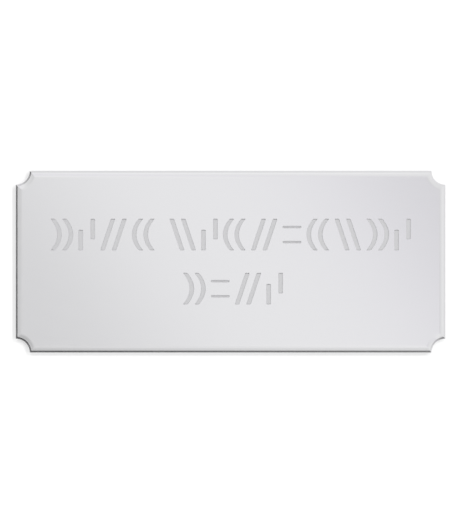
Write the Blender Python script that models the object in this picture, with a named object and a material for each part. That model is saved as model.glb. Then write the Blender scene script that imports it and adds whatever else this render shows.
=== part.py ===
"""Trophy plate: a flat silver plate with scooped corners, a bevelled edge and two engraved rows of strokes.

The plate stands upright, as it does on the front of a trophy's base. +X runs to the right along it, +Z up it,
and the engraved face looks along -Y. The origin is the centre of the flat back, which is stuck to the base.
All sizes are in metres.
"""

import math
from collections import namedtuple

import bmesh
import bpy

# The blank
PLATE_WIDTH = 0.076
PLATE_HEIGHT = 0.03215
PLATE_THICKNESS = 0.0015
SCOOP_RADIUS = 0.00245
SCOOP_STEPS = 20

# The edge, from the outline inwards: a square land at the back, a narrow chamfer, then a wider, flatter bevel
CHAMFER_RUN = 0.00036
CHAMFER_DEPTH = 0.00029
BEVEL_RUN = 0.00052
BEVEL_DEPTH = 0.00016

# The engraved grooves, whose walls slope in to a flat floor
GROOVE_DEPTH = 0.00018
GROOVE_WALL_RUN = 0.00013
STEM_WIDTH = 0.00075
BAR_WIDTH = 0.00038
UPRIGHT_LENGTH = 0.0036
BOW_STEPS = 12

# The rows: the first reaches from margin to margin, and its signs set the width of those in the second
SIDE_MARGIN = 0.0062
ROW_HEIGHT = 0.00555
ROW_SPACING = 0.00956
SECOND_ROW_SHIFT = 0.0004
SIGN_GAP = 0.00097
WORD_GAP = 0.00265

# Each mark stands for one sign, which is two like strokes side by side or, for =, one above the other.
# A space is the gap between two words.
FIRST_ROW = ")|/( \\|(/=(\\)|"
SECOND_ROW = ")=/|"
SIGN_SHARE = {"/": 1.0, "\\": 1.0, "(": 0.86, ")": 0.86, "|": 0.62, "=": 0.70}

# How far a stroke leans or bows, as a share of its sign's width, and how high the bars are in the row
LEAN_SHARE = {"/": 0.40, "\\": -0.40}
BOW_SHARE = {"(": -0.30, ")": 0.30}
BAR_PLACES = (0.26, 0.74)

SILVER = (0.80, 0.80, 0.82, 1.0)
SILVER_ROUGHNESS = 0.28
SHARP_ANGLE = math.radians(10)

# One groove as it shows on the face: where its middle is, the heights of its foot and top, its width, how far its
# top stands to the right of its foot, and how far its middle bulges to the right of its ends
Stroke = namedtuple("Stroke", "middle foot top width lean bow")


def clear_scene():
    for obj in list(bpy.data.objects):
        bpy.data.objects.remove(obj, do_unlink=True)


def silver():
    """Satin silver, the one metal that the plate is made of."""
    material = bpy.data.materials.new("satin_silver")
    material.use_nodes = True
    shader = material.node_tree.nodes["Principled BSDF"]
    shader.inputs["Base Color"].default_value = SILVER
    shader.inputs["Metallic"].default_value = 1.0
    shader.inputs["Roughness"].default_value = SILVER_ROUGHNESS
    return material


def new_object(name, bm):
    """An object in the scene, made from bm with its faces pointing out and its corners kept crisp."""
    bmesh.ops.recalc_face_normals(bm, faces=bm.faces)
    mesh = bpy.data.meshes.new(name)
    bm.to_mesh(mesh)
    bm.free()
    mesh.set_sharp_from_angle(angle=SHARP_ANGLE)
    obj = bpy.data.objects.new(name, mesh)
    bpy.context.scene.collection.objects.link(obj)
    return obj


def outline(inset):
    """Points round the plate at an inset from its outline, as (x, z), clockwise from the top left scoop.

    A scoop is a quarter circle about the plate's own square corner. Inset, it is a larger arc about the same
    corner, and ends where it meets the inset sides.
    """
    radius = SCOOP_RADIUS + inset
    trim = math.asin(inset / radius)
    points = []
    for side_x, side_z, first_degrees in ((-1, 1, 270), (1, 1, 180), (1, -1, 90), (-1, -1, 0)):
        first = math.radians(first_degrees) + trim
        last = math.radians(first_degrees + 90) - trim
        for step in range(SCOOP_STEPS + 1):
            angle = first + (last - first) * step / SCOOP_STEPS
            x = side_x * PLATE_WIDTH / 2 + radius * math.cos(angle)
            z = side_z * PLATE_HEIGHT / 2 + radius * math.sin(angle)
            points.append((x, z))
    return points


def blank_plate():
    """The plate before it is engraved: one loop above another from the flat back to the face."""
    land = PLATE_THICKNESS - CHAMFER_DEPTH - BEVEL_DEPTH
    levels = (
        (0.0, 0.0),
        (0.0, land),
        (CHAMFER_RUN, land + CHAMFER_DEPTH),
        (CHAMFER_RUN + BEVEL_RUN, PLATE_THICKNESS),
    )
    bm = bmesh.new()
    rings = [[bm.verts.new((x, -height, z)) for x, z in outline(inset)] for inset, height in levels]
    for lower, upper in zip(rings, rings[1:]):
        for i in range(len(lower)):
            edge_face = bm.faces.new((lower[i - 1], lower[i], upper[i], upper[i - 1]))
            edge_face.smooth = True
    bm.faces.new(rings[0])
    bm.faces.new(rings[-1])
    return new_object("trophy_plate", bm)


def gaps_in(row):
    """The length of all the gaps between a row's signs and words."""
    words = row.split(" ")
    return sum(len(word) - 1 for word in words) * SIGN_GAP + (len(words) - 1) * WORD_GAP


def shares_in(row):
    return sum(SIGN_SHARE[mark] for mark in row if mark != " ")


def bars(left, foot, width):
    """Two level bars, one above the other."""
    centres = [foot + place * ROW_HEIGHT for place in BAR_PLACES]
    middle = left + width / 2
    return [Stroke(middle, z - BAR_WIDTH / 2, z + BAR_WIDTH / 2, width, 0.0, 0.0) for z in centres]


def staggered_uprights(left, foot, width):
    """Two short uprights side by side, the first from the row's foot, the second from its top."""
    ends = ((left + STEM_WIDTH / 2, foot), (left + width - STEM_WIDTH / 2, foot + ROW_HEIGHT - UPRIGHT_LENGTH))
    return [Stroke(middle, low, low + UPRIGHT_LENGTH, STEM_WIDTH, 0.0, 0.0) for middle, low in ends]


def leaning_or_bowed(mark, left, foot, width):
    """Two parallel strokes over the row's whole height, both leaning or both bowed the same way."""
    lean = LEAN_SHARE.get(mark, 0.0) * width
    bow = BOW_SHARE.get(mark, 0.0) * width
    reach = (STEM_WIDTH + abs(lean) + abs(bow)) / 2
    top = foot + ROW_HEIGHT
    return [Stroke(x, foot, top, STEM_WIDTH, lean, bow) for x in (left + reach, left + width - reach)]


def sign_strokes(mark, left, foot, width):
    if mark == "=":
        return bars(left, foot, width)
    if mark == "|":
        return staggered_uprights(left, foot, width)
    return leaning_or_bowed(mark, left, foot, width)


def row_strokes(row, middle_x, middle_z, full_width):
    """The strokes of a whole row about its middle, where full_width is that of a sign with a share of 1."""
    left = middle_x - (shares_in(row) * full_width + gaps_in(row)) / 2
    strokes = []
    for word in row.split(" "):
        for mark in word:
            width = SIGN_SHARE[mark] * full_width
            strokes += sign_strokes(mark, left, middle_z - ROW_HEIGHT / 2, width)
            left += width + SIGN_GAP
        left += WORD_GAP - SIGN_GAP
    return strokes


def inscription_strokes():
    """Both rows, one above the other about the plate's centre."""
    first_length = PLATE_WIDTH - 2 * SIDE_MARGIN
    full_width = (first_length - gaps_in(FIRST_ROW)) / shares_in(FIRST_ROW)
    strokes = row_strokes(FIRST_ROW, 0.0, ROW_SPACING / 2, full_width)
    strokes += row_strokes(SECOND_ROW, SECOND_ROW_SHIFT, -ROW_SPACING / 2, full_width)
    return strokes


def stroke_rungs(stroke, growth):
    """The left and right points of a stroke at each height up it, grown by so much on every side."""
    steps = BOW_STEPS if stroke.bow else 1
    foot, top = stroke.foot - growth, stroke.top + growth
    reach = stroke.width / 2 + growth
    rungs = []
    for step in range(steps + 1):
        z = foot + (top - foot) * step / steps
        t = (z - stroke.foot) / (stroke.top - stroke.foot)
        x = stroke.middle + stroke.lean * (t - 0.5) + stroke.bow * (4 * t * (1 - t) - 0.5)
        rungs.append(((x - reach, z), (x + reach, z)))
    return rungs


def add_groove_cutter(bm, stroke):
    """A closed body with the groove's floor and walls, which slope on to as far in front of the face."""
    levels = (
        (-GROOVE_WALL_RUN, PLATE_THICKNESS - GROOVE_DEPTH),
        (GROOVE_WALL_RUN, PLATE_THICKNESS + GROOVE_DEPTH),
    )
    floor, mouth = (
        [[bm.verts.new((x, -height, z)) for x, z in rung] for rung in stroke_rungs(stroke, growth)]
        for growth, height in levels
    )
    for i in range(len(floor) - 1):
        bm.faces.new((*floor[i], *reversed(floor[i + 1])))
        bm.faces.new((*mouth[i], *reversed(mouth[i + 1])))
        for side in (0, 1):
            wall = bm.faces.new((floor[i][side], floor[i + 1][side], mouth[i + 1][side], mouth[i][side]))
            wall.smooth = True
    for end in (0, -1):
        bm.faces.new((*floor[end], *reversed(mouth[end])))


def groove_cutters():
    """The cutters of all the grooves, as one helper object."""
    bm = bmesh.new()
    for stroke in inscription_strokes():
        add_groove_cutter(bm, stroke)
    cutters = new_object("groove_cutters", bm)
    cutters.hide_render = True
    cutters.display_type = "WIRE"
    return cutters


def main():
    clear_scene()
    plate = blank_plate()
    plate.data.materials.append(silver())
    engraving = plate.modifiers.new("engraving", "BOOLEAN")
    engraving.operation = "DIFFERENCE"
    engraving.solver = "EXACT"
    engraving.object = groove_cutters()


main()
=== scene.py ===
"""Looks of the trophy plate: satin silver, with a polished bevelled edge and two engraved rows of strokes.

The fine plate is built about the same sizes as the solid that it stands for, upright, with its engraved face
along -Y and its flat back against a pale wall. All sizes are in metres.
"""

import math
from collections import namedtuple
from functools import reduce

import bmesh
import bpy
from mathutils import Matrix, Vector
from mathutils.geometry import delaunay_2d_cdt


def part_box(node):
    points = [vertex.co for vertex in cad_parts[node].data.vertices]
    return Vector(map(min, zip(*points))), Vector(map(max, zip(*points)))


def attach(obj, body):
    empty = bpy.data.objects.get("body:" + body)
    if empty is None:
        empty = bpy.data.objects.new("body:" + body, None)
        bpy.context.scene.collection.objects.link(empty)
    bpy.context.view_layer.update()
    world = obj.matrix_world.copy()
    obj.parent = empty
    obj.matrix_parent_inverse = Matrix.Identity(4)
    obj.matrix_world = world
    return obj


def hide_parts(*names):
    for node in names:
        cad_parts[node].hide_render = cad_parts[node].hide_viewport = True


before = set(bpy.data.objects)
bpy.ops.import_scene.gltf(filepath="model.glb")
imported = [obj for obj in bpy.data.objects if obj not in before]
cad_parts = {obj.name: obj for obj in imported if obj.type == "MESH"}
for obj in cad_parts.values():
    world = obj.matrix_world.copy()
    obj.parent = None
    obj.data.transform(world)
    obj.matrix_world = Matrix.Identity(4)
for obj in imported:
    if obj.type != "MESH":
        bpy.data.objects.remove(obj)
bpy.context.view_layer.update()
LOW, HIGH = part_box("trophy_plate")

# The blank, whose overall size comes from the solid in model.glb
PLATE_WIDTH = HIGH.x - LOW.x
PLATE_HEIGHT = HIGH.z - LOW.z
PLATE_THICKNESS = HIGH.y - LOW.y
SCOOP_RADIUS = 0.00245
SCOOP_STEPS = 36

# The edge, from the outline inwards: a square land at the back, a narrow chamfer, and a wider, flatter bevel
CHAMFER_RUN = 0.00036
CHAMFER_DEPTH = 0.00029
BEVEL_RUN = 0.00052
BEVEL_DEPTH = 0.00016
LAND_HEIGHT = PLATE_THICKNESS - CHAMFER_DEPTH - BEVEL_DEPTH

# How far back from each arris of the edge its rounding starts
BACK_ARRIS = 0.00004
OUTER_ARRIS = 0.00001
MIDDLE_ARRIS = 0.00001
FACE_ARRIS = 0.00028
ARRIS_STEPS = 6

# The engraved grooves, whose walls are steep at the sides and slope in at the foot and the top
GROOVE_DEPTH = 0.00018
GROOVE_SIDE_RUN = 0.00003
GROOVE_END_RUN = 0.00013
GROOVE_LIP = 0.00002
GROOVE_CORNER_RADIUS = 0.00012
LEAST_CORNER_RADIUS = GROOVE_CORNER_RADIUS / 10
CORNER_STEPS = 5
STEM_WIDTH = 0.00075
BAR_WIDTH = 0.00038
UPRIGHT_LENGTH = 0.0036
BOW_STEPS = 24

# The rows: the first reaches from margin to margin, and its signs set the width of those in the second
SIDE_MARGIN = 0.0062
ROW_HEIGHT = 0.00555
ROW_SPACING = 0.00956
SECOND_ROW_SHIFT = 0.0004
SIGN_GAP = 0.00097
WORD_GAP = 0.00265

# Each mark stands for one sign, which is two like strokes side by side or, for =, one above the other.
# A space is the gap between two words.
FIRST_ROW = ")|/( \\|(/=(\\)|"
SECOND_ROW = ")=/|"
SIGN_SHARE = {"/": 1.0, "\\": 1.0, "(": 0.86, ")": 0.86, "|": 0.62, "=": 0.70}

# How far a stroke leans or bows, as a share of its sign's width, and how high the bars are in the row
LEAN_SHARE = {"/": 0.40, "\\": -0.40}
BOW_SHARE = {"(": -0.30, ")": 0.30}
BAR_PLACES = (0.26, 0.74)

# The plate's material slots, in the order in which engraved_plate() gives it its metals
FACE, EDGE, GROOVE, BACK, LAND = range(5)

SHARP_ANGLE = math.radians(12)
MERGE_DISTANCE = 1e-9

# How finely the metals' grain is broken up, and the range in which nearly all of its noise lies
GRAIN_DETAIL = 3.0
GRAIN_RANGE = (0.3, 0.7)

# The pale wall, just behind the plate, with an opening a little smaller than it that shows its back
WALL_HALF_SIZE = 0.6
WALL_GAP = 0.0003
WALL_OVERLAP = 0.0003
WALL_GREY = 0.36
WALL_GLOW = 0.485
WALL_ROUGHNESS = 0.9
WALL_SPECULAR = 0.2

# The lamps that throw the shadow: each one's name and strength, and how far to the left and below it throws
# the shadow of a point that lies 1 in front of the wall
SHADOW_LEFT = 0.62
SHADOW_BELOW = 0.50
LAMPS = (
    ("top_right_lamp", 1.35, SHADOW_LEFT, SHADOW_BELOW),
    ("right_lamp", 1.05, SHADOW_LEFT, 0.0),
    ("overhead_lamp", 0.92, 0.0, SHADOW_BELOW),
)
LAMP_ANGLE = math.radians(13)

# The light all round the plate, by direction: x to the right, y to behind the plate and z up, each from -1
# to 1, so that y is -1 straight in front of the face. A pair is the range over which a light rises or falls.
PLAIN_LIGHT = 0.725

# The broad strip in front of the face, which slants down to the right
STRIP_SLANT = 0.677
STRIP_MIDDLE = 0.018
STRIP_EDGE = (0.055, 0.175)
STRIP_LIGHT = 0.205

# The light round the strip, which starts nearer to the middle on the right than on the left
AROUND_TURN = 0.12
AROUND_RISE = (-0.985, -0.84)
AROUND_LIGHT = 0.11

# The light straight above and straight below the strip, by the sizes of x and z
MIDDLE_FALL = (0.08, 0.26)
HIGH_OR_LOW_RISE = (0.07, 0.22)
HIGH_OR_LOW_FALL = (0.75, 0.95)
HIGH_OR_LOW_LIGHT = 0.16

# The two softboxes off to the side of the strip, one overhead and one on the right
SOFTBOX_RISE = (-0.86, -0.76)
SOFTBOX_FALL = (-0.50, -0.35)
OVERHEAD_RISE = (0.30, 0.80)
OVERHEAD_LIGHT = 0.14
RIGHT_RISE = (0.45, 0.75)
RIGHT_LIGHT = 0.06

# The dark side, low on the left and far back: the weights of x, y and z in how far a direction lies towards
# it, and the share of the light that is left in its middle
DARK_TOWARDS = (-0.715, 1.15, -0.69)
DARK_RISE = (-1.06, 1.07)
DARKEST_SHARE = 0.05

# The dip in the light low in front on the left
DIP_ACROSS = (-0.22, 0.04)
DIP_UP = (-0.30, -0.10)
DIP_DEPTH = 0.14

# The glow all round between front and side, and the light from behind, where there is no dark side
GLOW_RISE = (-0.76, -0.70)
GLOW_FALL = (-0.46, -0.30)
BEHIND_RISE = (0.05, 0.35)
BEHIND_SHARE = 1.2

# The slightly cooler light at the strip's right
WHITE = (1.0, 1.0, 1.0)
COOL_WHITE = (0.995, 0.984, 1.015)
COOL_RISE = (0.05, 0.12)
COOL_FALL = (0.22, 0.34)

# The photograph is 460 pixels wide and 523 high, and the sensor's width lies along its longer side
PHOTO_HEIGHT = 523
PHOTO_CENTRE = (230.0, 261.5)
PLATE_WIDTH_IN_PHOTO = 429.6
PLATE_CENTRE_IN_PHOTO = (230.62, 261.62)
LENS_MM = 100.0
SENSOR_MM = 36.0
CLIP_START = 0.01

# One groove as it shows on the face: where its middle is, the heights of its foot and top, its width, how far
# its top stands to the right of its foot, and how far its middle bulges to the right of its ends
Stroke = namedtuple("Stroke", "middle foot top width lean bow")


def feed(tree, socket, value):
    """Feeds a socket from another socket, or sets it to a plain value."""
    if isinstance(value, bpy.types.NodeSocket):
        tree.links.new(value, socket)
    else:
        socket.default_value = value


def calculate(tree, operation, *values):
    """What a Math node makes of its values."""
    node = tree.nodes.new("ShaderNodeMath")
    node.operation = operation
    for socket, value in zip(node.inputs, values):
        feed(tree, socket, value)
    return node.outputs[0]


def total(tree, *values):
    return reduce(lambda result, value: calculate(tree, "ADD", result, value), values)


def product(tree, *values):
    return reduce(lambda result, value: calculate(tree, "MULTIPLY", result, value), values)


def largest(tree, *values):
    return reduce(lambda result, value: calculate(tree, "MAXIMUM", result, value), values)


def magnitude(tree, value):
    """A value without its sign."""
    return calculate(tree, "ABSOLUTE", value)


def ramp(tree, value, start, end, low, high, smooth=True):
    """A value from low to high as the input goes from start to end."""
    node = tree.nodes.new("ShaderNodeMapRange")
    node.interpolation_type = "SMOOTHSTEP" if smooth else "LINEAR"
    names = ("Value", "From Min", "From Max", "To Min", "To Max")
    for name, given in zip(names, (value, start, end, low, high)):
        feed(tree, node.inputs[name], given)
    return node.outputs["Result"]


def band(tree, value, rise, fall, height):
    """A value that rises from nothing to a height over one range of the input and falls back over another."""
    return product(tree, ramp(tree, value, *rise, 0.0, height), ramp(tree, value, *fall, 1.0, 0.0))


def mixed_colour(tree, share, first, second):
    """A colour between two, which is the first where the share is 0 and the second where it is 1."""
    node = tree.nodes.new("ShaderNodeMix")
    node.data_type = "RGBA"
    feed(tree, node.inputs["Factor"], share)
    node.inputs["A"].default_value = (*first, 1.0)
    node.inputs["B"].default_value = (*second, 1.0)
    return node.outputs["Result"]


def grain_noise(tree, grain):
    """Noise in the plate's own metres, with so many waves in a metre along each axis."""
    coordinates = tree.nodes.new("ShaderNodeTexCoord")
    mapping = tree.nodes.new("ShaderNodeMapping")
    mapping.inputs["Scale"].default_value = grain
    tree.links.new(coordinates.outputs["Object"], mapping.inputs["Vector"])
    noise = tree.nodes.new("ShaderNodeTexNoise")
    noise.inputs["Scale"].default_value = 1.0
    noise.inputs["Detail"].default_value = GRAIN_DETAIL
    tree.links.new(mapping.outputs["Vector"], noise.inputs["Vector"])
    return noise.outputs["Fac"]


def metal(name, dark, light, roughness, grain, relief):
    """A metal whose colour and roughness drift with its grain, which also stands up by a tiny relief."""
    material = bpy.data.materials.new(name)
    material.use_nodes = True
    tree = material.node_tree
    shader = tree.nodes["Principled BSDF"]
    shader.inputs["Metallic"].default_value = 1.0
    noise = grain_noise(tree, grain)
    tree.links.new(mixed_colour(tree, noise, dark, light), shader.inputs["Base Color"])
    tree.links.new(ramp(tree, noise, *GRAIN_RANGE, *roughness, smooth=False), shader.inputs["Roughness"])
    bump = tree.nodes.new("ShaderNodeBump")
    bump.inputs["Strength"].default_value = 1.0
    bump.inputs["Distance"].default_value = relief
    tree.links.new(noise, bump.inputs["Height"])
    tree.links.new(bump.outputs["Normal"], shader.inputs["Normal"])
    return material


def satin_face():
    """The face, rolled and brushed so finely along its length that the lines hardly show."""
    return metal(
        "satin_face",
        dark=(0.850, 0.849, 0.866),
        light=(0.872, 0.871, 0.888),
        roughness=(0.13, 0.17),
        grain=(300, 300, 9000),
        relief=0.0000002,
    )


def polished_edge():
    """The bevel and chamfer, cut by a diamond tool and left a little brighter than the face."""
    return metal(
        "polished_edge",
        dark=(0.860, 0.859, 0.872),
        light=(0.880, 0.879, 0.892),
        roughness=(0.13, 0.17),
        grain=(900, 900, 900),
        relief=0.0000001,
    )


def milled_groove_painted_shade():
    """The grooves, matt from the cutter that left fine marks in them; their darker colour is painted shade.
    """
    return metal(
        "milled_groove_painted_shade",
        dark=(0.762, 0.761, 0.772),
        light=(0.842, 0.841, 0.852),
        roughness=(0.44, 0.54),
        grain=(7000, 3000, 7000),
        relief=0.0000015,
    )


def linished_back_painted_shade():
    """The back, plain and sanded straight across; its darker colour is painted shade."""
    return metal(
        "linished_back_painted_shade",
        dark=(0.560, 0.559, 0.570),
        light=(0.700, 0.699, 0.710),
        roughness=(0.26, 0.46),
        grain=(5000, 200, 120),
        relief=0.0000020,
    )


def sheared_land_painted_shade():
    """The square sides behind the chamfer, as the shears left them, duller than the rest; their darker colour
    is painted shade.
    """
    return metal(
        "sheared_land_painted_shade",
        dark=(0.600, 0.599, 0.608),
        light=(0.720, 0.719, 0.728),
        roughness=(0.32, 0.46),
        grain=(2600, 300, 2600),
        relief=0.0000020,
    )


def outline(inset):
    """Points round the plate at an inset from its outline, as (x, z), clockwise from the top left scoop.

    A scoop is a quarter circle about the plate's own square corner. Inset, it is a larger arc about the same
    corner, and ends where it meets the inset sides.
    """
    radius = SCOOP_RADIUS + inset
    trim = math.asin(inset / radius)
    points = []
    for side_x, side_z, first_degrees in ((-1, 1, 270), (1, 1, 180), (1, -1, 90), (-1, -1, 0)):
        first = math.radians(first_degrees) + trim
        last = math.radians(first_degrees + 90) - trim
        for step in range(SCOOP_STEPS + 1):
            angle = first + (last - first) * step / SCOOP_STEPS
            x = side_x * PLATE_WIDTH / 2 + radius * math.cos(angle)
            z = side_z * PLATE_HEIGHT / 2 + radius * math.sin(angle)
            points.append((x, z))
    return points


def rounded(profile, roundings):
    """The profile's points with each corner between its ends replaced by a smooth turn of its own size."""
    points = [Vector(profile[0])]
    for before, corner, after, rounding in zip(profile, profile[1:], profile[2:], roundings):
        corner = Vector(corner)
        start = corner + (Vector(before) - corner).normalized() * rounding
        end = corner + (Vector(after) - corner).normalized() * rounding
        for step in range(ARRIS_STEPS + 1):
            t = step / ARRIS_STEPS
            points.append(start * (1 - t) ** 2 + corner * 2 * t * (1 - t) + end * t**2)
    points.append(Vector(profile[-1]))
    return points


def edge_profile():
    """The section of the edge as (inset, height above the back), from on the back to on the face."""
    slope_end = CHAMFER_RUN + BEVEL_RUN
    return rounded(
        (
            (2 * BACK_ARRIS, 0.0),
            (0.0, 0.0),
            (0.0, LAND_HEIGHT),
            (CHAMFER_RUN, LAND_HEIGHT + CHAMFER_DEPTH),
            (slope_end, PLATE_THICKNESS),
            (slope_end + 2 * FACE_ARRIS, PLATE_THICKNESS),
        ),
        (BACK_ARRIS, OUTER_ARRIS, MIDDLE_ARRIS, FACE_ARRIS),
    )


def groove_profile(run):
    """The section of a groove's wall as (growth of the stroke, height above the back), from face to floor."""
    floor = PLATE_THICKNESS - GROOVE_DEPTH
    return rounded(
        (
            (2 * GROOVE_LIP, PLATE_THICKNESS),
            (0.0, PLATE_THICKNESS),
            (-run, floor),
            (-run - 2 * GROOVE_LIP, floor),
        ),
        (GROOVE_LIP, GROOVE_LIP),
    )


def gaps_in(row):
    """The length of all the gaps between a row's signs and words."""
    words = row.split(" ")
    return sum(len(word) - 1 for word in words) * SIGN_GAP + (len(words) - 1) * WORD_GAP


def shares_in(row):
    return sum(SIGN_SHARE[mark] for mark in row if mark != " ")


def bars(left, foot, width):
    """Two level bars, one above the other."""
    centres = [foot + place * ROW_HEIGHT for place in BAR_PLACES]
    middle = left + width / 2
    return [Stroke(middle, z - BAR_WIDTH / 2, z + BAR_WIDTH / 2, width, 0.0, 0.0) for z in centres]


def staggered_uprights(left, foot, width):
    """Two short uprights side by side, the first from the row's foot, the second from its top."""
    first = (left + STEM_WIDTH / 2, foot)
    second = (left + width - STEM_WIDTH / 2, foot + ROW_HEIGHT - UPRIGHT_LENGTH)
    return [Stroke(x, low, low + UPRIGHT_LENGTH, STEM_WIDTH, 0.0, 0.0) for x, low in (first, second)]


def leaning_or_bowed(mark, left, foot, width):
    """Two parallel strokes over the row's whole height, both leaning or both bowed the same way."""
    lean = LEAN_SHARE.get(mark, 0.0) * width
    bow = BOW_SHARE.get(mark, 0.0) * width
    reach = (STEM_WIDTH + abs(lean) + abs(bow)) / 2
    top = foot + ROW_HEIGHT
    return [Stroke(x, foot, top, STEM_WIDTH, lean, bow) for x in (left + reach, left + width - reach)]


def sign_strokes(mark, left, foot, width):
    if mark == "=":
        return bars(left, foot, width)
    if mark == "|":
        return staggered_uprights(left, foot, width)
    return leaning_or_bowed(mark, left, foot, width)


def row_strokes(row, middle_x, middle_z, full_width):
    """The strokes of a whole row about its middle, where full_width is that of a sign with a share of 1."""
    left = middle_x - (shares_in(row) * full_width + gaps_in(row)) / 2
    strokes = []
    for word in row.split(" "):
        for mark in word:
            width = SIGN_SHARE[mark] * full_width
            strokes += sign_strokes(mark, left, middle_z - ROW_HEIGHT / 2, width)
            left += width + SIGN_GAP
        left += WORD_GAP - SIGN_GAP
    return strokes


def inscription_strokes():
    """Both rows, one above the other about the plate's centre."""
    first_length = PLATE_WIDTH - 2 * SIDE_MARGIN
    full_width = (first_length - gaps_in(FIRST_ROW)) / shares_in(FIRST_ROW)
    strokes = row_strokes(FIRST_ROW, 0.0, ROW_SPACING / 2, full_width)
    strokes += row_strokes(SECOND_ROW, SECOND_ROW_SHIFT, -ROW_SPACING / 2, full_width)
    return strokes


def quarter_turn(middle_u, middle_z, radius, first_degrees):
    """Points on a quarter circle about a middle, anticlockwise from its first direction."""
    points = []
    for step in range(CORNER_STEPS + 1):
        angle = math.radians(first_degrees + 90 * step / CORNER_STEPS)
        points.append((middle_u + radius * math.cos(angle), middle_z + radius * math.sin(angle)))
    return points


def between(u, start_z, end_z, steps):
    """The points that split a straight side into steps, without its ends."""
    return [(u, start_z + (end_z - start_z) * step / steps) for step in range(1, steps)]


def upright_loop(half_width, foot, top, radius, side_steps):
    """Points round a straight stroke about u = 0 with round corners, anticlockwise from the lower right."""
    right, low, high = half_width - radius, foot + radius, top - radius
    return [
        *quarter_turn(right, low, radius, -90),
        *between(half_width, low, high, side_steps),
        *quarter_turn(right, high, radius, 0),
        *quarter_turn(-right, high, radius, 90),
        *between(-half_width, high, low, side_steps),
        *quarter_turn(-right, low, radius, 180),
    ]


def stroke_loop(stroke, side_growth, end_growth):
    """Points round a stroke grown by so much at its sides and ends, as (x, z), with small round corners."""
    foot, top = stroke.foot - end_growth, stroke.top + end_growth
    radius = max(GROOVE_CORNER_RADIUS + min(side_growth, end_growth), LEAST_CORNER_RADIUS)
    side_steps = BOW_STEPS if stroke.bow else 1
    points = []
    for u, z in upright_loop(stroke.width / 2 + side_growth, foot, top, radius, side_steps):
        t = (z - stroke.foot) / (stroke.top - stroke.foot)
        x = stroke.middle + u + stroke.lean * (t - 0.5) + stroke.bow * (4 * t * (1 - t) - 0.5)
        points.append((x, z))
    return points


def add_ring(bm, points, height):
    return [bm.verts.new((x, -height, z)) for x, z in points]


def join_rings(bm, rings, material_index):
    for lower, upper in zip(rings, rings[1:]):
        for i in range(len(lower)):
            face = bm.faces.new((lower[i - 1], lower[i], upper[i], upper[i - 1]))
            face.material_index = material_index


def is_inside(point, ring):
    """Whether a point lies inside a ring, by how often a line from it to the right crosses the ring."""
    crossings = 0
    for start, end in zip(ring, ring[1:] + ring[:1]):
        if (start.co.z > point.y) != (end.co.z > point.y):
            t = (point.y - start.co.z) / (end.co.z - start.co.z)
            crossings += start.co.x + t * (end.co.x - start.co.x) > point.x
    return crossings % 2 == 1


def fill_between(bm, rings, material_index=0):
    """Triangles over the flat space inside the first ring and outside the others."""
    corners = [vert for ring in rings for vert in ring]
    ring_of = [number for number, ring in enumerate(rings) for _ in ring]
    edges = []
    for ring in rings:
        first, count = len(edges), len(ring)
        edges += [(first + i, first + (i + 1) % count) for i in range(count)]
    flat = [Vector((vert.co.x, vert.co.z)) for vert in corners]
    inside_the_edges = 1
    points, _, triangles, sources, _, _ = delaunay_2d_cdt(flat, edges, [], inside_the_edges, MERGE_DISTANCE)
    for triangle in triangles:
        # A triangle with all its corners on the ring of one hole may lie in that hole
        ring_numbers = {ring_of[sources[i][0]] for i in triangle}
        on_one_hole = len(ring_numbers) == 1 and 0 not in ring_numbers
        middle = sum((points[i] for i in triangle), Vector((0.0, 0.0))) / 3
        if on_one_hole and is_inside(middle, rings[ring_numbers.pop()]):
            continue
        face = bm.faces.new([corners[sources[i][0]] for i in triangle])
        face.material_index = material_index


def new_object(name, bm, materials):
    """An object in the scene, made from bm with its faces pointing out."""
    bmesh.ops.recalc_face_normals(bm, faces=bm.faces)
    mesh = bpy.data.meshes.new(name)
    bm.to_mesh(mesh)
    bm.free()
    for material in materials:
        mesh.materials.append(material)
    obj = bpy.data.objects.new(name, mesh)
    bpy.context.scene.collection.objects.link(obj)
    return obj


def add_back_and_edge(bm):
    """The flat back, and the edge from there to the face, whose ring of points it gives back."""
    profile = edge_profile()
    rings = [add_ring(bm, outline(inset), height) for inset, height in profile]
    on_land = sum(height < LAND_HEIGHT for _, height in profile)
    join_rings(bm, rings[:on_land], LAND)
    join_rings(bm, rings[on_land - 1 :], EDGE)
    fill_between(bm, [rings[0]], BACK)
    return rings[-1]


def add_grooves(bm):
    """The walls and floors of all the grooves, whose mouths on the face it gives back as rings of points."""
    levels = list(zip(groove_profile(GROOVE_SIDE_RUN), groove_profile(GROOVE_END_RUN)))
    mouths = []
    for stroke in inscription_strokes():
        rings = [add_ring(bm, stroke_loop(stroke, side.x, end.x), end.y) for side, end in levels]
        join_rings(bm, rings, GROOVE)
        fill_between(bm, [rings[-1]], GROOVE)
        mouths.append(rings[0])
    return mouths


def engraved_plate():
    """The whole plate as one closed mesh: its back, its edge, the grooves, and the face between them."""
    bm = bmesh.new()
    face_border = add_back_and_edge(bm)
    mouths = add_grooves(bm)
    fill_between(bm, [face_border, *mouths], FACE)
    metals = (satin_face(), polished_edge(), milled_groove_painted_shade(), linished_back_painted_shade(), sheared_land_painted_shade())
    plate = new_object("engraved_plate", bm, metals)
    plate.data.shade_smooth()
    plate.data.set_sharp_from_angle(angle=SHARP_ANGLE)
    normals = plate.modifiers.new("flat faces stay flat", "WEIGHTED_NORMAL")
    normals.keep_sharp = True
    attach(plate, "root")
    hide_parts("trophy_plate")


def pale_paint():
    """The wall's paint, which gives off some light of its own, so that the wall stays near white."""
    material = bpy.data.materials.new("pale_wall")
    material.use_nodes = True
    shader = material.node_tree.nodes["Principled BSDF"]
    shader.inputs["Base Color"].default_value = (WALL_GREY, WALL_GREY, WALL_GREY, 1.0)
    shader.inputs["Roughness"].default_value = WALL_ROUGHNESS
    shader.inputs["Specular IOR Level"].default_value = WALL_SPECULAR
    shader.inputs["Emission Color"].default_value = (*WHITE, 1.0)
    shader.inputs["Emission Strength"].default_value = WALL_GLOW
    return material


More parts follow.
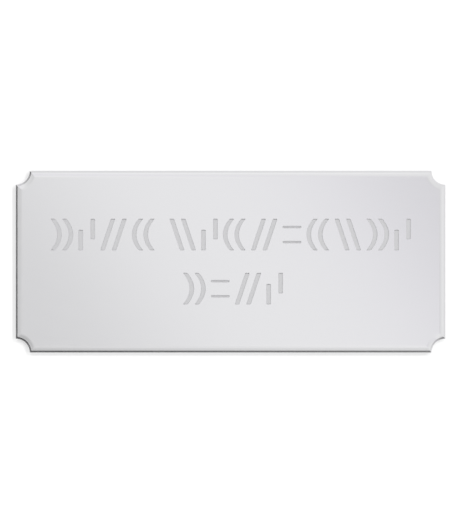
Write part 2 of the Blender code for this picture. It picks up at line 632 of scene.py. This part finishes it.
def backdrop_wall():
    """A plain pale wall just behind the plate, with an opening through which its back shows."""
    bm = bmesh.new()
    half = WALL_HALF_SIZE
    border = add_ring(bm, ((-half, -half), (half, -half), (half, half), (-half, half)), -WALL_GAP)
    opening = add_ring(bm, outline(WALL_OVERLAP), -WALL_GAP)
    fill_between(bm, [border, opening])
    wall = new_object("backdrop_wall", bm, (pale_paint(),))


def soft_lamps():
    """Soft lamps far off, which light the wall and throw the plate's thin shadow on it, but don't gleam."""
    for name, strength, left, below in LAMPS:
        light = bpy.data.lights.new(name, "SUN")
        light.energy = strength
        light.angle = LAMP_ANGLE
        lamp = bpy.data.objects.new(name, light)
        lamp.rotation_euler = Vector((left, -1.0, below)).to_track_quat("Z", "Y").to_euler()
        lamp.visible_glossy = False
        bpy.context.scene.collection.objects.link(lamp)


def front_light(tree, across, x, y, z, near_middle):
    """The strip in front of the face, and the dimmer light round it, above it and below it."""
    from_strip = magnitude(tree, calculate(tree, "SUBTRACT", across, STRIP_MIDDLE))
    strip = ramp(tree, from_strip, *STRIP_EDGE, STRIP_LIGHT, 0.0)
    off_axis = total(tree, y, product(tree, x, AROUND_TURN))
    around = ramp(tree, off_axis, *AROUND_RISE, 0.0, AROUND_LIGHT)
    high_or_low = band(tree, magnitude(tree, z), HIGH_OR_LOW_RISE, HIGH_OR_LOW_FALL, HIGH_OR_LOW_LIGHT)
    return largest(tree, strip, around, product(tree, high_or_low, near_middle))


def softbox_light(tree, x, y, z, near_middle):
    """The two softboxes between front and side, one overhead and one on the right."""
    overhead = product(tree, ramp(tree, z, *OVERHEAD_RISE, 0.0, OVERHEAD_LIGHT), near_middle)
    right = ramp(tree, x, *RIGHT_RISE, 0.0, RIGHT_LIGHT)
    return product(tree, band(tree, y, SOFTBOX_RISE, SOFTBOX_FALL, 1.0), largest(tree, overhead, right))


def kept_share(tree, x, y, z):
    """The share of the light that each direction keeps, hardly any low on the left and nearly all opposite.

    The glow between front and side keeps the face silver when it is seen from the right or from above, and
    the light from behind does so for the back.
    """
    parts = [product(tree, value, weight) for value, weight in zip((x, y, z), DARK_TOWARDS)]
    share = ramp(tree, total(tree, *parts), *DARK_RISE, 1.0, DARKEST_SHARE)
    dip = product(tree, ramp(tree, x, *DIP_ACROSS, DIP_DEPTH, 0.0), ramp(tree, z, *DIP_UP, 1.0, 0.0))
    share = product(tree, share, calculate(tree, "SUBTRACT", 1.0, dip))
    glow = band(tree, y, GLOW_RISE, GLOW_FALL, 1.0)
    behind = ramp(tree, y, *BEHIND_RISE, 0.0, BEHIND_SHARE)
    return largest(tree, share, glow, behind)


def studio_world():
    """The light all round the plate. Past the wall's rim the camera itself sees plain white."""
    world = bpy.data.worlds.new("studio")
    bpy.context.scene.world = world
    world.use_nodes = True
    tree = world.node_tree
    coordinates = tree.nodes.new("ShaderNodeTexCoord")
    direction = tree.nodes.new("ShaderNodeSeparateXYZ")
    tree.links.new(coordinates.outputs["Generated"], direction.inputs["Vector"])
    x, y, z = direction.outputs
    across = total(tree, x, product(tree, z, STRIP_SLANT))
    near_middle = ramp(tree, magnitude(tree, x), *MIDDLE_FALL, 1.0, 0.0)

    front = front_light(tree, across, x, y, z, near_middle)
    softboxes = softbox_light(tree, x, y, z, near_middle)
    brightness = product(tree, total(tree, PLAIN_LIGHT, front, softboxes), kept_share(tree, x, y, z))
    path = tree.nodes.new("ShaderNodeLightPath")
    strength = tree.nodes.new("ShaderNodeMix")
    feed(tree, strength.inputs["Factor"], path.outputs["Is Camera Ray"])
    feed(tree, strength.inputs["A"], brightness)
    feed(tree, strength.inputs["B"], 1.0)

    cool_share = band(tree, across, COOL_RISE, COOL_FALL, 1.0)
    background = tree.nodes["Background"]
    tree.links.new(mixed_colour(tree, cool_share, WHITE, COOL_WHITE), background.inputs["Color"])
    tree.links.new(strength.outputs["Result"], background.inputs["Strength"])


def camera():
    """Straight in front of the plate, with the plate as large in the frame as in the photograph."""
    metres_per_pixel = PLATE_WIDTH / PLATE_WIDTH_IN_PHOTO
    shift_right = (PLATE_CENTRE_IN_PHOTO[0] - PHOTO_CENTRE[0]) * metres_per_pixel
    shift_down = (PLATE_CENTRE_IN_PHOTO[1] - PHOTO_CENTRE[1]) * metres_per_pixel
    distance = PHOTO_HEIGHT * metres_per_pixel * LENS_MM / SENSOR_MM
    data = bpy.data.cameras.new("camera")
    data.lens = LENS_MM
    data.sensor_width = SENSOR_MM
    data.clip_start = CLIP_START
    eye = bpy.data.objects.new("camera", data)
    outline_plane = LOW.y + CHAMFER_DEPTH + BEVEL_DEPTH
    eye.location = (-shift_right, outline_plane - distance, shift_down)
    eye.rotation_euler = (math.pi / 2, 0.0, 0.0)
    bpy.context.scene.collection.objects.link(eye)
    bpy.context.scene.camera = eye


def main():
    camera()
    engraved_plate()
    backdrop_wall()
    soft_lamps()
    studio_world()
    bpy.context.scene.view_settings.view_transform = "Standard"


main()
